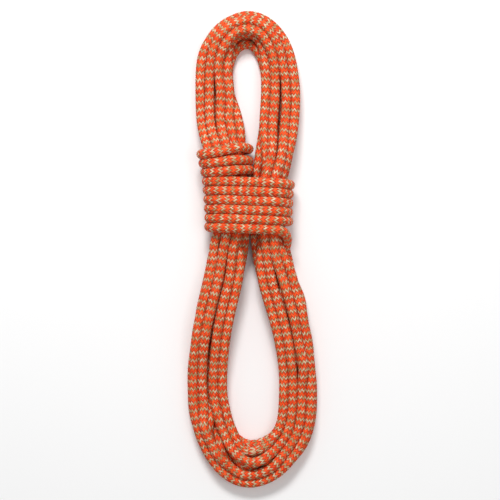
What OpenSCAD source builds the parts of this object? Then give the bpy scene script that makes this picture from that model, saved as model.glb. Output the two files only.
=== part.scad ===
// Dynamic climbing rope, laid into a hank and bound round its waist with its own last turns.
// The hank lies flat. +X is across it, +Y runs towards the short upper loop, +Z is up.
// The origin is the middle of its underside.

/* [Rope] */
// Diameter of the rope
rope_d = 9.5; // [8:0.1:11.5]
// Thickness of the braided sheath
sheath_t = 0.95; // [0.7:0.05:1.2]
// Play between neighbouring core strands
strand_play = 0.04; // [0.02:0.01:0.1]

/* [Hank] */
// Length of the upper loop's opening, from the wraps to the inside of its bend
upper_open_l = 134; // [90:1:180]
// Length of the lower loop's opening, from the wraps to the inside of its bend
lower_open_l = 210; // [150:1:280]
// Width of the upper loop's opening at its widest
upper_open_w = 31; // [22:1:50]
// Width of the lower loop's opening at its widest
lower_open_w = 54; // [36:1:80]
// Play between the left and right bundles at the waist
bundle_gap = 0.4; // [0.2:0.1:2]
// How far the waist lies to the side of the hank's route
waist_x = -2; // [-6:0.5:6]
// Radius on the edges of a bundle
bundle_round = 7; // [3:0.5:8]

/* [Wraps] */
// Turns round both bundles
wrap_turns = 6; // [3:1:8]
// Turns round the left bundle only
neck_turns = 3; // [1:1:4]
// Distance from one turn to the next
wrap_pitch = 9.2; // [8:0.1:11.5]
// How far a turn bites into the bundle it binds
wrap_bite = 0.2; // [0.1:0.05:0.5]

/* [Rope ends] */
// Length of rope end that is drawn with its sheath and core apart
end_l = 42; // [30:1:60]
// Length of the fused tip
tip_l = 3.5; // [2:0.5:6]
// Radius on the edge of the fused tip
tip_round = 2; // [1:0.25:3]
// Length of the shrunk end band
band_l = 20; // [10:1:28]
// Thickness of the end band
band_t = 0.35; // [0.2:0.05:0.5]
// Bare rope between the end band and the tip
band_inset = 6; // [3:1:12]

/* [Hidden] */

rope_r = rope_d / 2;
core_r = rope_r - sheath_t;
orange = [0.93, 0.31, 0.13];
cream = [0.90, 0.87, 0.80];
clear_band = [0.16, 0.16, 0.18];
melted = [0.42, 0.13, 0.06];

// Where the wraps start and end along Y, with the middle of the waist at 0
waist_bottom = -wrap_turns * wrap_pitch / 2;
waist_top = wrap_turns * wrap_pitch / 2;
neck_top = waist_top + neck_turns * wrap_pitch;

// Sizes of the bundles, in rope diameters
waist_wide = 3.6;
waist_deep = 2.75;
waist_top_wide = 3.43;
neck_left_wide = 4.12;
neck_right_wide = 4.25;
// The neck wraps pass between the two bundles, so above the waist each bundle keeps clear of them
neck_wraps_x = 2;
left_x = neck_wraps_x - rope_d;
right_x = neck_wraps_x + bundle_gap / 2;
// How much the openings differ from the ones that the route's points are chosen for
up_y = (upper_open_l - neck_turns * wrap_pitch) / 106.4;
low_y = lower_open_l / 210;
up_x = upper_open_w / 31;
low_x = lower_open_w / 54;

// How far below the wraps each tail bends before its straight end
tail_l = 42;
// The lower loop lies on the two rope ends until it is clear of them, then comes down to the floor
ends_clear = 15;
come_down_l = 45;
function lift_at(distance) =
    max(0, min(1, 1 - (distance - tail_l - end_l - tip_l - ends_clear) / come_down_l));

// The route of the bundle of turns, up the right side and round by the left, as
// [inner edge x, distance from the wraps, way it thickens, ropes wide, ropes deep] and, for the
// upper loop, its lift in ropes
upper_route = [
    [6, 12, -4, 3.95, 2.3, 0.7],
    [8.5, 35, -3, 4.1, 2.1, 0.3],
    [10, 66, 3, 4, 2.1, 0],
    [9.5, 88, 15, 3.4, 2.3, 0],
    [6.5, 98, 40, 3.4, 2.5, 0],
    [1, 104, 68, 3.7, 2.75, 0],
    [-5.5, 106.4, 92, 3.75, 2.75, 0],
    [-13, 104, 115, 3.4, 2.75, 0],
    [-18.5, 98, 140, 3.2, 2.5, 0],
    [-20.5, 89, 165, 3.4, 2.3, 0],
    [-20.5, 77, 180, 3.7, 2.1, 0],
    [-17.5, 60, 187, 4.1, 2.1, 0.1],
    [-11, 36, 190, 4.7, 2.1, 0.4],
    [-5.5, 12, 187, 4.8, 2.4, 0.8]];
lower_route = [
    [-6, 28, 187, 3.9, 2.3],
    [-13, 60, 190, 4.1, 2.1],
    [-20, 92, 187, 4.1, 2.1],
    [-24, 122, 183, 4, 2.1],
    [-25.5, 154, 180, 4, 2.1],
    [-23, 180, 193, 4, 2.1],
    [-17, 198, 215, 4.1, 2],
    [-8.5, 208, 240, 4.4, 2],
    [1, 210, 265, 4.9, 2],
    [11.5, 206.5, 290, 4.3, 2],
    [21, 200.5, 315, 3.7, 2.1],
    [26.5, 190, 340, 3.7, 2.1],
    [28.5, 166, 355, 3.6, 2.1],
    [28.3, 141, 363, 3.7, 2.1],
    [24, 111, 370, 3.75, 2.1],
    [16.5, 81, 372, 3.8, 2.1],
    [8, 54, 373, 3.85, 2.2],
    [1.5, 26, 370, 3.8, 2.4]];

// A route with a station added halfway between each two, on the smooth curve through their neighbours
function halfway(r, i) = let (n = len(r) - 1)
    (9 * (r[i] + r[i + 1]) - r[max(i - 1, 0)] - r[min(i + 2, n)]) / 16;
function smoothed(r) = [for (i = [0:len(r) - 1]) each i < len(r) - 1 ? [r[i], halfway(r, i)] : [r[i]]];

// The stations of the whole ring, in millimetres apart from the last three columns
ring_route = concat(
    [[waist_x + bundle_gap / 2, waist_bottom, 0, waist_wide, waist_deep, 1],
     [right_x, waist_top, 0, waist_top_wide, waist_deep, 1],
     [right_x + bundle_gap, neck_top, 0, neck_right_wide, waist_deep, 1]],
    [for (p = smoothed(upper_route)) [p[0] * up_x, neck_top + p[1] * up_y, p[2], p[3], p[4],
                                max(p[5], 0)]],
    [[left_x, neck_top, 180, neck_left_wide, waist_deep, 1],
     [left_x, waist_top, 180, waist_top_wide, waist_deep, 1],
     [waist_x - bundle_gap / 2, waist_bottom, 180, waist_wide, waist_deep, 1]],
    [for (p = smoothed(lower_route)) [p[0] * low_x, waist_bottom - p[1] * low_y, p[2], p[3], p[4],
                                lift_at(p[1] * low_y)]]);

// The outer edge of the bundle at a station
function outer_edge(p) = [p[0], p[1]] + p[3] * rope_d * [cos(p[2]), sin(p[2])];
outer_edges = [for (p = ring_route) outer_edge(p)];
middle = [for (i = [0, 1]) let (all = [for (e = outer_edges) e[i]]) (min(all) + max(all)) / 2];

// A rounded rectangle from [x0, z0] to [x1, z1], turning one way
corner_steps = 3;
function round_box(x0, x1, z0, z1, r) = [
    for (c = [[x1 - r, z1 - r, 0], [x0 + r, z1 - r, 90], [x0 + r, z0 + r, 180], [x1 - r, z0 + r, 270]])
        for (i = [0:corner_steps])
            let (a = c[2] + i * 90 / corner_steps) [c[0] + r * cos(a), c[1] + r * sin(a)]];

// The bundle's cross-section at a station, stood up in the frame
function bundle_ring(p) = [
    for (q = round_box(0, p[3] * rope_d, p[5] * rope_d, (p[5] + p[4]) * rope_d, bundle_round))
        [p[0] + q[0] * cos(p[2]), p[1] + q[0] * sin(p[2]), q[1]]];

// Solid through a list of rings with the same number of points; closed joins the last to the first
module loft(rings, closed = false) {
    sides = len(rings[0]);
    count = len(rings);
    last = closed ? count - 1 : count - 2;
    walls = [for (i = [0:last]) for (j = [0:sides - 1])
        let (k = (i + 1) % count, m = (j + 1) % sides)
            [i * sides + j, i * sides + m, k * sides + m, k * sides + j]];
    first_cap = [for (j = [0:sides - 1]) sides - 1 - j];
    last_cap = [for (j = [0:sides - 1]) (count - 1) * sides + j];
    polyhedron([for (r = rings) for (p = r) p], closed ? walls : concat(walls, [first_cap, last_cap]));
}

// Outer shape of all the turns: one ring, pinched at the waist
module hank_turns() {
    color(orange) loft([for (p = ring_route) bundle_ring(p)], closed = true);
}

// A turn bulges by half a rope between its joints with the next ones
wrap_steps = 4;
function bulge(k) = let (dy = wrap_pitch * (k / wrap_steps - 0.5))
    sqrt(max(rope_r * rope_r - dy * dy, 0)) - rope_r;
function standing(ring, y) = [for (q = ring) [q[0], y, q[1]]];

// A share of the wraps' length that the hole is cut past each of their ends
overrun = 0.1;
// The rounded rectangle that lies a distance out from the bundle, a share t of the way up the wraps.
// The bundle runs in X from b[0] to b[1] at the bottom and from b[2] to b[3] at the top.
function wrap_ring(b, t, out) =
    round_box(b[0] + t * (b[2] - b[0]) - out, b[1] + t * (b[3] - b[1]) + out,
              rope_d - out, (1 + waist_deep) * rope_d + out, bundle_round + out);
module wraps(turns, bottom, b) {
    length = turns * wrap_pitch;
    steps = turns * wrap_steps;
    difference() {
        loft([for (i = [0:steps])
            standing(wrap_ring(b, i / steps, rope_d + bulge(i % wrap_steps)), bottom + i / steps * length)]);
        loft([for (t = [-overrun, 1 + overrun]) standing(wrap_ring(b, t, -wrap_bite), bottom + t * length)]);
    }
}

waist_edge = bundle_gap / 2 + waist_wide * rope_d;
waist_top_left = left_x - waist_top_wide * rope_d;
module waist_wraps() {
    color(orange) wraps(wrap_turns, waist_bottom, [waist_x - waist_edge, waist_x + waist_edge,
                                                   waist_top_left, right_x + waist_top_wide * rope_d]);
}
module neck_wraps() {
    color(orange) wraps(neck_turns, waist_top, [waist_top_left, left_x,
                                                left_x - neck_left_wide * rope_d, left_x]);
}

// Each tail leaves from under the lowest wrap and lies under its own bundle.
// The points are [x, distance from the wraps]; the last two also set the way that the end points.
start_route = [[16, 0], [17.5, 12], [20, 26], [23.5, tail_l]];
finish_route = [[-19.5, 0], [-21, 12], [-23.5, 26], [-27, tail_l]];
function tail_points(route) = [for (p = route) [p[0], waist_bottom - p[1], rope_r]];
function heading(points) = let (n = len(points), d = points[n - 1] - points[n - 2]) atan2(d[1], d[0]);

tail_sides = 12;
function tail_ring(points, i) =
    let (n = len(points), a = points[max(i - 1, 0)], b = points[min(i + 1, n - 1)],
         way = i == 0 ? -90 : i == n - 1 ? heading(points) : atan2(b[1] - a[1], b[0] - a[0]))
        [for (j = [0:tail_sides - 1]) let (t = j * 360 / tail_sides)
            points[i] + rope_r * [-sin(way) * cos(t), cos(way) * cos(t), sin(t)]];
module tail(route) {
    points = tail_points(route);
    loft([for (i = [0:len(points) - 1]) tail_ring(points, i)]);
}

// Puts what is drawn along +X at the end of a tail, pointing the way the tail runs
module at_end_of(route) {
    points = tail_points(route);
    translate(points[len(points) - 1]) rotate([0, 0, heading(points)]) rotate([0, 90, 0]) children();
}

module end_sheath() {
    difference() {
        cylinder(h = end_l, r = rope_r, $fn = 48);
        translate([0, 0, -1]) cylinder(h = end_l + 2, r = core_r, $fn = 48);
        translate([0, 0, end_l - band_inset - band_l]) difference() {
            cylinder(h = band_l, r = rope_r + 1, $fn = 48);
            translate([0, 0, -1]) cylinder(h = band_l + 2, r = rope_r - band_t, $fn = 48);
        }
    }
}

// Twelve strands: three in the middle and nine round them, as [how many, distance from the middle, turn].
// Twelve circles fit a round bore that is 4.06 times as wide as one of them.
strand_room = core_r / 4.06;
core_rings = [[3, 1.18 * strand_room, 0], [9, 3.05 * strand_room, 20]];
module end_core() {
    for (c = core_rings) for (i = [0:c[0] - 1])
        rotate([0, 0, c[2] + i * 360 / c[0]]) translate([c[1], 0, 0])
            cylinder(h = end_l, r = strand_room - strand_play / 2, $fn = 24);
}

module end_band() {
    translate([0, 0, end_l - band_inset - band_l]) difference() {
        cylinder(h = band_l, r = rope_r, $fn = 48);
        translate([0, 0, -1]) cylinder(h = band_l + 2, r = rope_r - band_t, $fn = 48);
    }
}

module fused_tip() {
    translate([0, 0, end_l]) rotate_extrude($fn = 48) intersection() {
        square([rope_r, tip_l]);
        union() {
            square([rope_r, tip_l - tip_round]);
            square([rope_r - tip_round, tip_l]);
            translate([rope_r - tip_round, tip_l - tip_round]) circle(r = tip_round, $fn = 32);
        }
    }
}

module start_tail() { color(orange) tail(start_route); }
module start_sheath() { color(orange) at_end_of(start_route) end_sheath(); }
module start_core() { color(cream) at_end_of(start_route) end_core(); }
module start_end_band() { color(clear_band) at_end_of(start_route) end_band(); }
module start_fused_tip() { color(melted) at_end_of(start_route) fused_tip(); }
module finish_tail() { color(orange) tail(finish_route); }
module finish_sheath() { color(orange) at_end_of(finish_route) end_sheath(); }
module finish_core() { color(cream) at_end_of(finish_route) end_core(); }
module finish_end_band() { color(clear_band) at_end_of(finish_route) end_band(); }
module finish_fused_tip() { color(melted) at_end_of(finish_route) fused_tip(); }

// Moves a piece so that the hank's middle is at the origin
module centred() { translate([-middle[0], -middle[1], 0]) children(); }

centred() hank_turns();
centred() waist_wraps();
centred() neck_wraps();
centred() start_tail();
centred() start_sheath();
centred() start_core();
centred() start_end_band();
centred() start_fused_tip();
centred() finish_tail();
centred() finish_sheath();
centred() finish_core();
centred() finish_end_band();
centred() finish_fused_tip();
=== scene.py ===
import math

import bpy
import numpy as np
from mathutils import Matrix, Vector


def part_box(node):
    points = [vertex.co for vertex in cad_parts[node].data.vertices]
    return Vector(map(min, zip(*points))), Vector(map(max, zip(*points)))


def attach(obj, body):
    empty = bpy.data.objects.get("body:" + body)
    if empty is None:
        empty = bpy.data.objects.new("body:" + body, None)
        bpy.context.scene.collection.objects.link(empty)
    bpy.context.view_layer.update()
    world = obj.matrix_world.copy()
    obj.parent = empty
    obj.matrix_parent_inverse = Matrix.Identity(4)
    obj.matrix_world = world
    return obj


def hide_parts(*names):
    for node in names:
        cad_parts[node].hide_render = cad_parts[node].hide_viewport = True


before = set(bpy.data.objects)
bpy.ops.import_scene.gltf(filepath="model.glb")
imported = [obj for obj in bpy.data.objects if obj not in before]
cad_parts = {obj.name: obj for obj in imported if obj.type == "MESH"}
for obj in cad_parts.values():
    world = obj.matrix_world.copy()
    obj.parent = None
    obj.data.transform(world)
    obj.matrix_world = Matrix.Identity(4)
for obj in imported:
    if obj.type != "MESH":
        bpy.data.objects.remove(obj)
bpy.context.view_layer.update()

# ---------------------------------------------------------------- sizes, in metres
ROPE_D = 0.0095
ROPE_R = ROPE_D / 2

# The hank's route, as in the part's source. A row is inner edge x, distance from the wraps,
# way the bundle thickens (degrees), ropes wide, ropes deep, and for the upper loop the height of its
# underside in ropes.
UPPER_ROUTE = [
    [0.006, 0.012, -4, 3.95, 2.3, 0.7],
    [0.0085, 0.035, -3, 4.1, 2.1, 0.3],
    [0.01, 0.066, 3, 4, 2.1, 0],
    [0.0095, 0.088, 15, 3.4, 2.3, 0],
    [0.0065, 0.098, 40, 3.4, 2.5, 0],
    [0.001, 0.104, 68, 3.7, 2.75, 0],
    [-0.0055, 0.1064, 92, 3.75, 2.75, 0],
    [-0.013, 0.104, 115, 3.4, 2.75, 0],
    [-0.0185, 0.098, 140, 3.2, 2.5, 0],
    [-0.0205, 0.089, 165, 3.4, 2.3, 0],
    [-0.0205, 0.077, 180, 3.7, 2.1, 0],
    [-0.0175, 0.06, 187, 4.1, 2.1, 0.1],
    [-0.011, 0.036, 190, 4.7, 2.1, 0.4],
    [-0.0055, 0.012, 187, 4.8, 2.4, 0.8],
]
LOWER_ROUTE = [
    [-0.006, 0.028, 187, 3.9, 2.3],
    [-0.013, 0.06, 190, 4.1, 2.1],
    [-0.02, 0.092, 187, 4.1, 2.1],
    [-0.024, 0.122, 183, 4, 2.1],
    [-0.0255, 0.154, 180, 4, 2.1],
    [-0.023, 0.18, 193, 4, 2.1],
    [-0.017, 0.198, 215, 4.1, 2],
    [-0.0085, 0.208, 240, 4.4, 2],
    [0.001, 0.21, 265, 4.9, 2],
    [0.0115, 0.2065, 290, 4.3, 2],
    [0.021, 0.2005, 315, 3.7, 2.1],
    [0.0265, 0.19, 340, 3.7, 2.1],
    [0.0285, 0.166, 355, 3.6, 2.1],
    [0.0283, 0.141, 363, 3.7, 2.1],
    [0.024, 0.111, 370, 3.75, 2.1],
    [0.0165, 0.081, 372, 3.8, 2.1],
    [0.008, 0.054, 373, 3.85, 2.2],
    [0.0015, 0.026, 370, 3.8, 2.4],
]
# The two tails, as x and distance below the wraps, and the straight length drawn as an end
START_ROUTE = [[0.016, 0], [0.0175, 0.012], [0.02, 0.026], [0.0235, 0.042]]
FINISH_ROUTE = [[-0.0195, 0], [-0.021, 0.012], [-0.0235, 0.026], [-0.027, 0.042]]
END_L = 0.042
TIP_L = 0.0035
# The lower loop lies on the two ends until it is clear of them, then comes down to the floor
ENDS_CLEAR = 0.015
COME_DOWN_L = 0.045
BAND_L = 0.02
BAND_INSET = 0.006

TURNS = 8
WRAP_TURNS = 6
NECK_TURNS = 3
WRAP_PITCH = 0.0092
WAIST_BOTTOM = -WRAP_TURNS * WRAP_PITCH / 2
WAIST_TOP = WRAP_TURNS * WRAP_PITCH / 2
NECK_TOP = WAIST_TOP + NECK_TURNS * WRAP_PITCH
BUNDLE_GAP = 0.0004
WAIST_X = -0.002
NECK_WRAPS_X = 0.002
LEFT_X = NECK_WRAPS_X - ROPE_D
RIGHT_X = NECK_WRAPS_X + BUNDLE_GAP / 2
WAIST_WIDE = 3.6
WAIST_TOP_WIDE = 3.43
WAIST_DEEP = 2.75
NECK_LEFT_WIDE = 4.12
NECK_RIGHT_WIDE = 4.25
WRAP_BACK_Z = ROPE_R
WRAP_FRONT_Z = (1 + WAIST_DEEP) * ROPE_D + ROPE_R
WRAP_CORNER = 0.007 + ROPE_R

# How the rope settles: length of a link, how near two turns may come, and rounds
LINK = 0.0045
CONTACT = 0.965 * ROPE_D
ROUNDS = 260
# Share of a round's correction that is applied: for touching turns, for bending, and for the two ends
PUSH = 1.3
STIFFNESS = 0.5
ENDS_FREE = 0.1
# How strongly each stretch is drawn back to its route in a round
HOLD_TURNS = 0.02
HOLD_WRAPS = 0.12
HOLD_BOUND = 0.004
HOLD_ENDS = 0.6
LATE_HOLD = 0.35
# How far the free turns sink in a round
SINK = 0.02e-3

# The braid: sixteen columns of floats round the rope, each two cells wide. A float climbs one and a half
# rows with each cell, so the centre line has a point every half row and CLIMB counts half rows.
# A slack rope is a little thicker than its rated diameter.
SLACK_R = 0.00495
COLUMNS = 16
CELLS = 2
YARN_PITCH = 0.00248
ROW_L = YARN_PITCH / 3
HALF_ROW = ROW_L / 2
CLIMB = 3
YARN_RISE = 0.0006
COLUMN_DIP = 0.3
# The braid repeats after nine rows of cells: two orange floats and a tan one. Each row has its height,
# its yarn (1 is tan), and whether it is a low groove row beside a float that takes the darkest tone, a
# painted shade.
ROW_HEIGHT = np.array([0, 1, 1, 0.35, 1, 0, 0.9, 1, 0.9])
ROW_TAN = np.array([0, 0, 0, 0, 0, 0, 1, 1, 1])
ROW_GROOVE_SHADE = np.array([1, 0, 0, 0, 0, 1, 0, 0, 0])
# The length over which the braid turns once round the rope, and the seed for its tones
TWIST_LENGTH = 0.9
SEED = 7

# The camera looks straight down and takes in this half width at this distance
CAMERA_PLACE = (-0.0018, -0.0008, 1.25)
VIEW_HALF_WIDTH = 0.2505
VIEW_DISTANCE = 1.23
FLOOR_HALF_WIDTH = 4.0


def lerp(a, b, t):
    return a + (b - a) * t


def ease(t):
    t = np.clip(t, 0, 1)
    return t * t * (3 - 2 * t)


def distances(points):
    """Distance along a line of points, from 0 at its start."""
    steps = np.linalg.norm(np.diff(points, axis=0), axis=1)
    return np.concatenate([[0], np.cumsum(steps)])


def at_distance(points, along, wanted):
    return np.stack([np.interp(wanted, along, points[:, i]) for i in range(points.shape[1])], 1)


def spline(rows, per=16):
    """Smooth curve through every row, with `per` steps between each two."""
    rows = np.asarray(rows, float)
    ends = np.vstack([2 * rows[0] - rows[1], rows, 2 * rows[-1] - rows[-2]])
    t = np.arange(per)[:, None] / per
    out = []
    for i in range(1, len(rows)):
        a, b, c, d = ends[i - 1 : i + 3]
        square = 2 * a - 5 * b + 4 * c - d
        cube = 3 * b - a - 3 * c + d
        out.append(b + 0.5 * ((c - a) * t + square * t**2 + cube * t**3))
    out.append(rows[-1:])
    return np.vstack(out)


# ---------------------------------------------------------------- the rope's route
def outward(rows):
    """The direction in which the bundle thickens at each row."""
    return np.stack([np.cos(rows[:, 2]), np.sin(rows[:, 2])], 1)


def ring_rows():
    """The bundle's rows all the way round: up the right side, over the top, down the left and round."""
    upper = np.array(UPPER_ROUTE)
    upper[:, 1] = NECK_TOP + upper[:, 1]
    lower = np.array(LOWER_ROUTE)
    past_ends = lower[:, 1:2] - START_ROUTE[-1][1] - END_L - TIP_L - ENDS_CLEAR
    lower = np.hstack([lower, np.clip(1 - past_ends / COME_DOWN_L, 0, 1)])
    lower[:, 1] = WAIST_BOTTOM - lower[:, 1]
    half_gap = BUNDLE_GAP / 2
    right = [
        [WAIST_X + half_gap, WAIST_BOTTOM, 0, WAIST_WIDE, WAIST_DEEP, 1],
        [RIGHT_X, WAIST_TOP, 0, WAIST_TOP_WIDE, WAIST_DEEP, 1],
        [RIGHT_X + BUNDLE_GAP, NECK_TOP, 0, NECK_RIGHT_WIDE, WAIST_DEEP, 1],
    ]
    left = [
        [LEFT_X, NECK_TOP, 180, NECK_LEFT_WIDE, WAIST_DEEP, 1],
        [LEFT_X, WAIST_TOP, 180, WAIST_TOP_WIDE, WAIST_DEEP, 1],
        [WAIST_X - half_gap, WAIST_BOTTOM, 180, WAIST_WIDE, WAIST_DEEP, 1],
    ]
    last = [right[0][:2] + [360] + right[0][3:]]
    rows = np.vstack([right, upper, left, lower, last])
    rows[:, 2] = np.radians(rows[:, 2])
    return rows


# Where each of the eight turns lies in the bundle, as shares of its width and depth: four on four,
# five on three where the bundle is spread wide, or in three layers where it is deep
FOUR_UP = np.array(
    [[0.33, 0], [0, 0], [0, 0.9], [0.28, 1.05], [0.72, 1.05], [1, 0.9], [1, 0], [0.67, 0]]
)
FIVE_UP = np.array(
    [[0.2, 0], [0, 0.7], [0.24, 1], [0.49, 1.05], [0.79, 1.1], [1, 0.85], [0.85, 0], [0.5, 0]]
)
LAYERS = np.array(
    [[0.33, 0], [0, 0], [0.3, 0.5], [0.42, 1], [0.8, 1], [1, 0.5], [1, 0], [0.67, 0]]
)
# The bundle spreads or stacks up between these widths and depths, in ropes
SPREAD = (4.3, 4.7)
STACKED = (2.2, 2.6)
# The share of a turn, under the wraps on its way down, over which it moves to the next turn's place
CROSSING = (0.385, 0.47)


def between(value, limits):
    return ease((value - limits[0]) / (limits[1] - limits[0]))


def turn_line(ring, place):
    """Line of one turn round the ring; place is its number in the bundle, which may change along it."""
    low = np.floor(place).astype(int)
    part = (place - low)[:, None]
    this, following = low % TURNS, (low + 1) % TURNS
    four, five, layers = [lerp(p[this], p[following], part) for p in (FOUR_UP, FIVE_UP, LAYERS)]
    share = lerp(four, layers, between(ring[:, 4], STACKED)[:, None])
    share = lerp(share, five, between(ring[:, 3], SPREAD)[:, None])
    out = (0.5 + share[:, 0] * (ring[:, 3] - 1)) * ROPE_D
    up = (0.5 + share[:, 1] * (ring[:, 4] - 1) + ring[:, 5]) * ROPE_D
    flat = ring[:, :2] + outward(ring) * out[:, None]
    return np.column_stack([flat, up])


def ring_lines():
    """The eight turns as one line."""
    ring = spline(ring_rows(), 12)
    middle = ring[:, :2] + (ring[:, 3] * ROPE_D / 2)[:, None] * outward(ring)
    along = distances(middle)
    crossing = between(along / along[-1], CROSSING)
    turns = [turn_line(ring, k + crossing) for k in range(TURNS - 1)]
    turns.append(turn_line(ring, np.full(len(ring), TURNS - 1.0)))
    return np.vstack([turns[0]] + [t[1:] for t in turns[1:]])


def left_side(y):
    """Left side of what the wraps hold."""
    bottom = WAIST_X - BUNDLE_GAP / 2 - WAIST_WIDE * ROPE_D
    top = LEFT_X - WAIST_TOP_WIDE * ROPE_D
    neck = LEFT_X - NECK_LEFT_WIDE * ROPE_D
    return np.interp(y, [WAIST_BOTTOM, WAIST_TOP, NECK_TOP], [bottom, top, neck])


def right_side(y):
    """Right side of what the waist's wraps hold."""
    bottom = WAIST_X + BUNDLE_GAP / 2 + WAIST_WIDE * ROPE_D
    top = RIGHT_X + WAIST_TOP_WIDE * ROPE_D
    return np.interp(y, [WAIST_BOTTOM, WAIST_TOP], [bottom, top])


def over_front(right, right_y, left_y):
    """Front pass of a wrap, from the right to the left, ending halfway down the left side."""
    start = right + ROPE_R - WRAP_CORNER
    end = left_side(left_y) - ROPE_R + WRAP_CORNER
    flat = [[lerp(start, end, t), lerp(right_y, left_y, t), WRAP_FRONT_Z] for t in (0, 0.33, 0.67)]
    bend = [
        [end - WRAP_CORNER * math.sin(a), left_y, WRAP_FRONT_Z - WRAP_CORNER * (1 - math.cos(a))]
        for a in np.linspace(0, math.pi / 2, 6)
    ]
    return flat + bend


def under_back(right, left_y, right_y):
    """Back pass of a wrap, from the left to the right, ending halfway up the right side."""
    start = left_side(left_y) - ROPE_R + WRAP_CORNER
    end = right + ROPE_R - WRAP_CORNER
    bend = [
        [start - WRAP_CORNER * math.cos(a), left_y, WRAP_BACK_Z + WRAP_CORNER * (1 - math.sin(a))]
        for a in np.linspace(0, math.pi / 2, 6)
    ]
    flat = [[lerp(start, end, t), lerp(left_y, right_y, t), WRAP_BACK_Z] for t in (0.33, 0.67)]
    rise = [
        [end + WRAP_CORNER * math.sin(a), right_y, WRAP_BACK_Z + WRAP_CORNER * (1 - math.cos(a))]
        for a in np.linspace(0, math.pi / 2, 6)
    ]
    return bend + flat + rise


# Rise of each neck wrap over the front, from its left end to its right end
NECK_RISE = [0.0032, 0.004, 0.0072]


def wrap_points():
    """The six wraps round both bundles and the three round the left one, in the order the rope runs."""
    rows = []
    for turn in range(WRAP_TURNS):
        middle = WAIST_BOTTOM + (turn + 0.5) * WRAP_PITCH
        rows.append((middle - 0.0012, middle + 0.001))
    for turn in range(NECK_TURNS):
        left_y = WAIST_TOP + (turn + 0.5) * WRAP_PITCH
        rows.append((left_y + NECK_RISE[turn], left_y))
    points = []
    for turn, (right_y, left_y) in enumerate(rows):
        front_right = right_side(right_y) if turn < WRAP_TURNS else LEFT_X
        points += over_front(front_right, right_y, left_y)
        if turn + 1 < len(rows):
            back_right = right_side(left_y) if turn + 1 < WRAP_TURNS else LEFT_X
            points += under_back(back_right, left_y + 0.0022, rows[turn + 1][0] - 0.0006)
    return points


def tail_points(route):
    return np.array([[x, WAIST_BOTTOM - below, ROPE_R] for x, below in route])


def straight_end(points):
    """The straight end of a tail, from its last point."""
    way = points[-1] - points[-2]
    way = way / np.linalg.norm(way)
    return [points[-1] + way * END_L * t for t in (0.33, 0.67, 1)]


def rope_route():
    """The whole rope's line before it settles, and where the turns start and end in it."""
    turns = ring_lines()
    start = tail_points(START_ROUTE)
    first = straight_end(start)[::-1] + list(start[::-1])
    first[-2] = first[-2] + [0, 0, 0.0015]
    first[-1] = first[-1] + [0, 0, 0.0055]
    turns = turns[np.argmax(turns[:, 1] > WAIST_BOTTOM + 0.014) :]
    turns = turns[: np.nonzero(turns[:, 1] < WAIST_BOTTOM - 0.048)[0][-1] + 1]
    corner = right_side(WAIST_BOTTOM) + ROPE_R
    lead = [
        [corner - 0.007, WAIST_BOTTOM - 0.024, 0.015],
        [corner - 0.005, WAIST_BOTTOM - 0.009, 0.022],
        [corner - 0.003, WAIST_BOTTOM, 0.031],
        [corner - 0.006, WAIST_BOTTOM + 0.0022, 0.0385],
    ]
    tuck = [
        [-0.044, NECK_TOP, 0.0125],
        [-0.035, NECK_TOP - 0.005, 0.013],
        [-0.026, 0.036, 0.0142],
        [-0.0215, 0.02, 0.0142],
        [-0.0195, 0, 0.0142],
        [-0.0195, -0.018, 0.014],
        [-0.0198, WAIST_BOTTOM - 0.003, 0.011],
        [-0.021, WAIST_BOTTOM - 0.012, 0.007],
    ]
    finish = tail_points(FINISH_ROUTE)
    last = np.vstack([turns[-1:], lead, wrap_points(), tuck, finish[2:], straight_end(finish)])
    head = spline(np.vstack([first, turns[:1]]))
    rest = spline(last)
    line = np.vstack([head[:-1], turns, rest[1:]])
    along = distances(line)
    return line, along, along[len(head) - 1], along[len(head) + len(turns) - 2]


# ---------------------------------------------------------------- settling the rope
def close_pairs(points, skip):
    """Pairs of links near enough to touch, apart from neighbours along the rope."""
    middle = 0.5 * (points[1:] + points[:-1])
    reach = (CONTACT + 1.1 * LINK) ** 2
    found = []
    for start in range(0, len(middle), 400):
        gap = ((middle[start : start + 400, None] - middle[None]) ** 2).sum(2)
        i, j = np.nonzero(gap < reach)
        i = i + start
        apart = j > i + skip
        found.append(np.stack([i[apart], j[apart]]))
    return np.hstack(found)


def push_apart(points, i, j):
    """How far each point moves so that links i and j no longer lie closer than the rope's thickness."""
    along_i = points[i + 1] - points[i]
    along_j = points[j + 1] - points[j]
    across = points[i] - points[j]
    a = (along_i * along_i).sum(1)
    b = (along_i * along_j).sum(1)
    c = (along_j * along_j).sum(1)
    d = (along_i * across).sum(1)
    e = (along_j * across).sum(1)
    spread = a * c - b * b
    s = np.where(spread > 1e-12 * a * c, (b * e - c * d) / np.maximum(spread, 1e-18), 0.5)
    s = np.clip(s, 0, 1)
    t = np.clip((b * s + e) / c, 0, 1)
    s = np.clip((b * t - d) / a, 0, 1)
    gap = across + along_i * s[:, None] - along_j * t[:, None]
    distance = np.linalg.norm(gap, axis=1) + 1e-9
    hit = distance < CONTACT
    push = gap[hit] * ((CONTACT - distance[hit]) / distance[hit] / 2)[:, None]
    move = np.zeros_like(points)
    touches = np.zeros(len(points))
    i, j, s, t = i[hit], j[hit], s[hit], t[hit]
    for index, weight, sign in ((i, 1 - s, 1), (i + 1, s, 1), (j, 1 - t, -1), (j + 1, t, -1)):
        for axis in range(3):
            move[:, axis] += np.bincount(index, sign * weight * push[:, axis], len(points))
        touches += np.bincount(index, weight, len(points))
    return move / np.maximum(touches, 1)[:, None]


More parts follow.
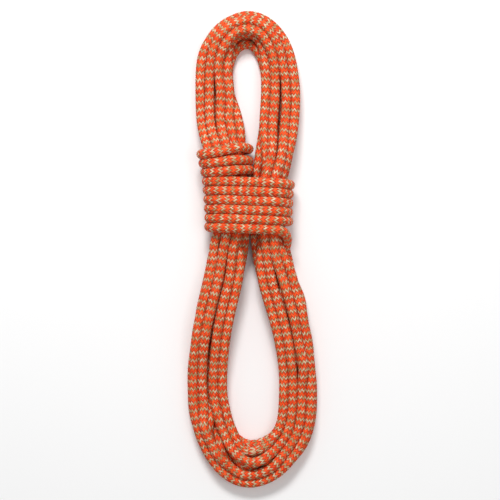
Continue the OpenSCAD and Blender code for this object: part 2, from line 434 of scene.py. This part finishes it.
def settle(line, along, turns_from, turns_to):
    """The rope's line after its turns have pushed each other apart and sunk together."""
    where = np.linspace(0, along[-1], int(round(along[-1] / LINK)) + 1)
    points = at_distance(line, along, where)
    for _ in range(3):
        points[1:-1] = 0.5 * points[1:-1] + 0.25 * (points[:-2] + points[2:])
    target = points.copy()
    turns = (where > turns_from) & (where < turns_to)
    bound = turns & (points[:, 1] > WAIST_BOTTOM - 0.002) & (points[:, 1] < NECK_TOP + 0.002)
    ends = (where < END_L + LINK) | (where > along[-1] - END_L - LINK)
    hold = np.where(turns, HOLD_TURNS, HOLD_WRAPS)
    hold[bound] = HOLD_BOUND
    hold[ends] = HOLD_ENDS
    floor_z = np.where(ends, ROPE_R, SLACK_R)
    free = np.where(ends, ENDS_FREE, 1)[:, None]
    sink = np.where(turns & ~bound, SINK, 0)
    link_l = np.linalg.norm(np.diff(points, axis=0), axis=1)
    skip = int(2.4 * ROPE_D / LINK)
    for turn in range(ROUNDS):
        if turn % 10 == 0:
            i, j = close_pairs(points, skip)
        points = points + PUSH * free * push_apart(points, i, j)
        bend = np.zeros_like(points)
        bend[1:-1] = 0.5 * (points[:-2] + points[2:]) - points[1:-1]
        stiff = np.zeros_like(points)
        stiff[1:-1] = 0.5 * (bend[:-2] + bend[2:]) - bend[1:-1]
        points = points - STIFFNESS * stiff
        grip = hold if turn < ROUNDS / 2 else LATE_HOLD * hold
        points = points + grip[:, None] * (target - points)
        points[:, 2] -= sink
        for _ in range(3):
            step = np.diff(points, axis=0)
            length = np.linalg.norm(step, axis=1)
            fix = step * ((length - link_l) / length / 4)[:, None]
            points[:-1] += fix
            points[1:] -= fix
        points[:, 2] = np.maximum(points[:, 2], floor_z)
    return points


# ---------------------------------------------------------------- the braided sheath
def frames_along(points):
    """Two directions across the rope at each point, carried along it without twist."""
    way = np.gradient(points, axis=0)
    way /= np.linalg.norm(way, axis=1)[:, None]
    side = np.zeros_like(points)
    current = np.cross(way[0], [0, 0, 1])
    for i in range(len(points)):
        current = current - way[i] * np.dot(current, way[i])
        current = current / np.linalg.norm(current)
        side[i] = current
    return side, np.cross(way, side)


def spoke(turn, side, up):
    """Direction straight out from a line, at an angle round it."""
    return np.cos(turn)[..., None] * side + np.sin(turn)[..., None] * up


def ring_faces(rings, around):
    """Quads between each ring of points and the next."""
    a = np.arange(rings - 1)[:, None] * around + np.arange(around)[None]
    b = np.arange(rings - 1)[:, None] * around + (np.arange(around)[None] + 1) % around
    return np.stack([a, b, b + around, a + around], 2).reshape(-1, 4)


def end_shape(count):
    """Radius of the rope along its length, as a share of a slack one: it comes down to the rated size at
    its ends and draws in under the two end bands and the fused tips."""
    from_end = np.minimum(np.arange(count), np.arange(count)[::-1]) * HALF_ROW
    under_band = ease((from_end - BAND_INSET) / 0.001) - ease((from_end - BAND_INSET - BAND_L) / 0.001)
    rated = lerp(ROPE_R / SLACK_R, 1, ease((from_end - END_L) / 0.02))
    return rated * (1 - 0.04 * under_band - 0.06 * (1 - ease(from_end / 0.004)))


def braid(points):
    """The sheath's surface: positions, faces, and each face's material slot."""
    side, up = frames_along(points)
    rings = (len(points) - 1) // 2 - CLIMB
    around = COLUMNS * CELLS
    column = np.arange(around) // CELLS
    cell = np.arange(around) % CELLS
    lean = CLIMB * np.where(column % 2 == 0, cell, CELLS - cell)
    ring = np.arange(rings)[:, None]
    centre = 2 * ring + lean[None]
    row = ring + (column % 2)[None]
    in_repeat = row % len(ROW_HEIGHT)
    crest = ROW_HEIGHT[in_repeat]
    across = np.sin(math.pi * cell / CELLS)[None]
    rise = COLUMN_DIP * (1 - across) + crest * across
    radius = (SLACK_R - YARN_RISE * (1 - rise)) * end_shape(len(points))[centre]
    turn = 2 * math.pi * (np.arange(around)[None] / around + centre * HALF_ROW / TWIST_LENGTH)
    places = points[centre] + radius[..., None] * spoke(turn, side[centre], up[centre])
    in_repeat = in_repeat[:-1]
    shades = np.random.default_rng(SEED).integers(1, TONES, (rings + 1, COLUMNS))
    # Groove rows take tone 0, a painted shade; the other rows take a float tone picked at random
    tone_with_painted_shade = np.where(ROW_GROOVE_SHADE[in_repeat] == 1, 0, shades[row[:-1], column[None]])
    slots = (tone_with_painted_shade + TONES * ROW_TAN[in_repeat]).reshape(-1)
    return places.reshape(-1, 3), ring_faces(rings, around), slots


def mesh_object(name, places, faces, materials, slots=None):
    mesh = bpy.data.meshes.new(name)
    mesh.from_pydata(places.tolist(), [], faces.tolist())
    for material in materials:
        mesh.materials.append(material)
    if slots is not None:
        mesh.polygons.foreach_set("material_index", slots.astype(np.int32))
    mesh.polygons.foreach_set("use_smooth", np.ones(len(mesh.polygons), bool))
    mesh.update()
    obj = bpy.data.objects.new(name, mesh)
    bpy.context.scene.collection.objects.link(obj)
    return obj


# ---------------------------------------------------------------- materials
def link_noise(nodes, links, scale, detail, coords):
    noise = nodes.new("ShaderNodeTexNoise")
    noise.inputs["Scale"].default_value = scale
    noise.inputs["Detail"].default_value = detail
    links.new(coords.outputs["Object"], noise.inputs["Vector"])
    return noise


def material(name, colour, rough_low, rough_high, sheen, bump_scale, bump_height, coat=0.0):
    """Principled material with noise for its roughness and bump; bump_scale is in noise cells a metre."""
    made = bpy.data.materials.new(name)
    made.use_nodes = True
    nodes, links = made.node_tree.nodes, made.node_tree.links
    shader = nodes["Principled BSDF"]
    shader.inputs["Base Color"].default_value = (*colour, 1)
    shader.inputs["Sheen Weight"].default_value = sheen
    shader.inputs["Sheen Roughness"].default_value = 0.45
    shader.inputs["Sheen Tint"].default_value = (1, 0.7, 0.55, 1)
    shader.inputs["Coat Weight"].default_value = coat
    shader.inputs["Specular IOR Level"].default_value = 0.25
    coords = nodes.new("ShaderNodeTexCoord")
    patches = link_noise(nodes, links, bump_scale / 12, 3, coords)
    spread = nodes.new("ShaderNodeMapRange")
    spread.inputs["To Min"].default_value = rough_low
    spread.inputs["To Max"].default_value = rough_high
    links.new(patches.outputs["Fac"], spread.inputs["Value"])
    links.new(spread.outputs["Result"], shader.inputs["Roughness"])
    fibres = link_noise(nodes, links, bump_scale, 2, coords)
    bump = nodes.new("ShaderNodeBump")
    bump.inputs["Strength"].default_value = 0.6
    bump.inputs["Distance"].default_value = bump_height
    links.new(fibres.outputs["Fac"], bump.inputs["Height"])
    links.new(bump.outputs["Normal"], shader.inputs["Normal"])
    return made


# The tones of each yarn: first a painted shade for the groove beside a float, then the floats' own tones,
# which differ at random
ORANGES_WITH_GROOVE_SHADE = [(0.45, 0.024, 0.003), (0.86, 0.075, 0.009), (0.98, 0.13, 0.025), (0.66, 0.04, 0.005)]
TANS_WITH_GROOVE_SHADE = [(0.22, 0.12, 0.035), (0.50, 0.33, 0.155), (0.74, 0.58, 0.38), (0.34, 0.20, 0.07)]
TONES = len(ORANGES_WITH_GROOVE_SHADE)


def yarn_materials():
    made = []
    for name, tones in (("orange_yarn", ORANGES_WITH_GROOVE_SHADE), ("tan_yarn", TANS_WITH_GROOVE_SHADE)):
        for i, colour in enumerate(tones):
            # Material 0 of each yarn holds the painted groove shade
            made.append(material(f"{name}_{i}", colour, 0.6, 0.85, 0.03, 4200, 0.00012))
    return made


# ---------------------------------------------------------------- the rope's two ends
def revolved(name, origin, way, profile, around, made, lumps):
    """Closed skin turned round an end's axis. Profile rows are distance along it and radius, and
    lumps(turn, along) is what is added to the radius."""
    way = way / np.linalg.norm(way)
    side = np.cross(way, [0, 0, 1])
    up = np.cross(side, way)
    profile = np.array(profile)
    turn = np.linspace(0, 2 * math.pi, around, endpoint=False)[None]
    along = profile[:, :1]
    radius = profile[:, 1:] + lumps(turn, along) * np.minimum(profile[:, 1:] / ROPE_R, 1)
    places = origin + along[..., None] * way + radius[..., None] * spoke(turn, side, up)
    facing_out = ring_faces(len(profile), around)[:, [0, 3, 2, 1]]
    return mesh_object(name, places.reshape(-1, 3), facing_out, [made])


def ripple(turn, along):
    """The braid showing through the shrunk band."""
    waves = np.sin(COLUMNS / 2 * turn + along * 2 * math.pi / YARN_PITCH / 3)
    return 0.00006 * waves + 0.00004 * np.sin(3 * turn + along * 900)


def melt(turn, along):
    """Lumps and runs of the melted tip."""
    return 0.00012 * np.sin(5 * turn + along * 1500) + 0.0001 * np.sin(3 * turn - along * 2600 + 1)


def end_band(name, origin, way, made):
    start = END_L - BAND_INSET - BAND_L
    stop = END_L - BAND_INSET
    inner = ROPE_R - 0.0005
    outer = ROPE_R
    steps = [[lerp(start + 0.0004, stop - 0.0004, t), outer] for t in np.linspace(0, 1, 30)]
    near = [[start + 0.0006, inner], [start, inner + 0.0002], [start + 0.0001, outer - 0.00012]]
    far = [[stop - 0.0001, outer - 0.00012], [stop, inner + 0.0002], [stop - 0.0006, inner]]
    profile = near + steps + far
    return revolved(name, origin, way, profile, 72, made, ripple)


def fused_tip(name, origin, way, made):
    collar = END_L - 0.0034
    profile = [[collar + 0.0005, 0.0041], [collar, 0.00435], [collar + 0.0003, 0.00462]]
    profile += [[END_L - 0.002, 0.0047], [END_L - 0.001, 0.00472], [END_L, 0.0047]]
    profile += [[END_L + 0.0008, 0.00468]]
    for a in np.linspace(0, math.pi / 2, 9)[1:]:
        along = END_L + TIP_L - 0.0024 + 0.0024 * math.sin(a)
        profile.append([along, 0.0023 + 0.0023 * math.cos(a)])
    profile += [[END_L + TIP_L - 0.0002, 0.0012], [END_L + TIP_L - 0.0005, 0.00001]]
    return revolved(name, origin, way, profile, 48, made, melt)


# ---------------------------------------------------------------- camera, floor and light
def add_camera():
    camera = bpy.data.cameras.new("camera")
    camera.lens_unit = "FOV"
    camera.angle = 2 * math.atan(VIEW_HALF_WIDTH / VIEW_DISTANCE)
    obj = bpy.data.objects.new("camera", camera)
    obj.location = CAMERA_PLACE
    bpy.context.scene.collection.objects.link(obj)
    bpy.context.scene.camera = obj


def add_area(name, place, size, power, aim=(0, 0, 0)):
    lamp = bpy.data.lights.new(name, "AREA")
    lamp.shape = "RECTANGLE"
    lamp.size, lamp.size_y = size
    lamp.energy = power
    obj = bpy.data.objects.new(name, lamp)
    obj.location = place
    way = np.array(aim) - np.array(place)
    flat = math.hypot(way[0], way[1])
    obj.rotation_euler = (math.atan2(flat, -way[2]), 0, math.atan2(-way[0], way[1]))
    bpy.context.scene.collection.objects.link(obj)


def add_floor():
    made = bpy.data.materials.new("floor")
    made.use_nodes = True
    shader = made.node_tree.nodes["Principled BSDF"]
    shader.inputs["Base Color"].default_value = (0.93, 0.93, 0.93, 1)
    shader.inputs["Roughness"].default_value = 0.9
    size = FLOOR_HALF_WIDTH
    places = np.array([[-size, -size, 0], [size, -size, 0], [size, size, 0], [-size, size, 0]])
    floor = mesh_object("floor", places, np.array([[0, 1, 2, 3]]), [made])


def add_light():
    world = bpy.data.worlds.new("world")
    world.use_nodes = True
    background = world.node_tree.nodes["Background"]
    background.inputs["Color"].default_value = (1, 1, 1, 1)
    background.inputs["Strength"].default_value = 0.42
    bpy.context.scene.world = world
    bpy.context.scene.view_settings.view_transform = "Standard"
    add_area("key", (-0.2, 1.2, 1.35), (0.6, 0.4), 25)
    add_area("fill", (0.6, -0.1, 1.8), (0.8, 0.8), 6)


# ---------------------------------------------------------------- build
def frame_shift():
    """From the route's own origin to the frame's: the hank's outline is centred on the frame's origin."""
    rows = ring_rows()
    outer = rows[:, :2] + rows[:, 3:4] * ROPE_D * outward(rows)
    low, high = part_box("hank_turns")
    middle = (outer.min(0) + outer.max(0)) / 2
    return np.array([(low[0] + high[0]) / 2 - middle[0], (low[1] + high[1]) / 2 - middle[1], 0])


def add_ends(shift):
    """The end band and fused tip on both ends, and the material of the core strands inside them."""
    film = material("shrunk_film", (0.018, 0.018, 0.02), 0.35, 0.5, 0.0, 1500, 0.00005)
    melted = material("melted_tip", (0.16, 0.028, 0.012), 0.15, 0.5, 0.0, 900, 0.0002, coat=0.4)
    core = material("core_yarn", (0.78, 0.72, 0.6), 0.6, 0.85, 0.1, 5000, 0.0002)
    made = []
    for end, route in (("start", START_ROUTE), ("finish", FINISH_ROUTE)):
        tail = tail_points(route) + shift
        way = tail[-1] - tail[-2]
        band = end_band(end + "_end_band_film", tail[-1], way, film)
        tip = fused_tip(end + "_fused_tip_melt", tail[-1], way, melted)
        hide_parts(end + "_end_band")
        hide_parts(end + "_fused_tip")
        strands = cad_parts[end + "_core"]
        strands.data.materials.clear()
        strands.data.materials.append(core)
        for piece in (band, tip):
            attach(piece, "root")
        made += [band, tip, strands]
    return made


add_camera()
shift = frame_shift()
line, along, turns_from, turns_to = rope_route()
settled = settle(line, along, turns_from, turns_to) + shift
fine = spline(settled, 6)
fine_along = distances(fine)
centre_line = at_distance(fine, fine_along, np.arange(0, fine_along[-1], HALF_ROW))
places, faces, slots = braid(centre_line)
rope = mesh_object("rope", places, faces, yarn_materials(), slots)
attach(rope, "root")
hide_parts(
    "hank_turns",
    "waist_wraps",
    "neck_wraps",
    "start_tail",
    "finish_tail",
    "start_sheath",
    "finish_sheath",
)
ends = add_ends(shift)
add_floor()
add_light()
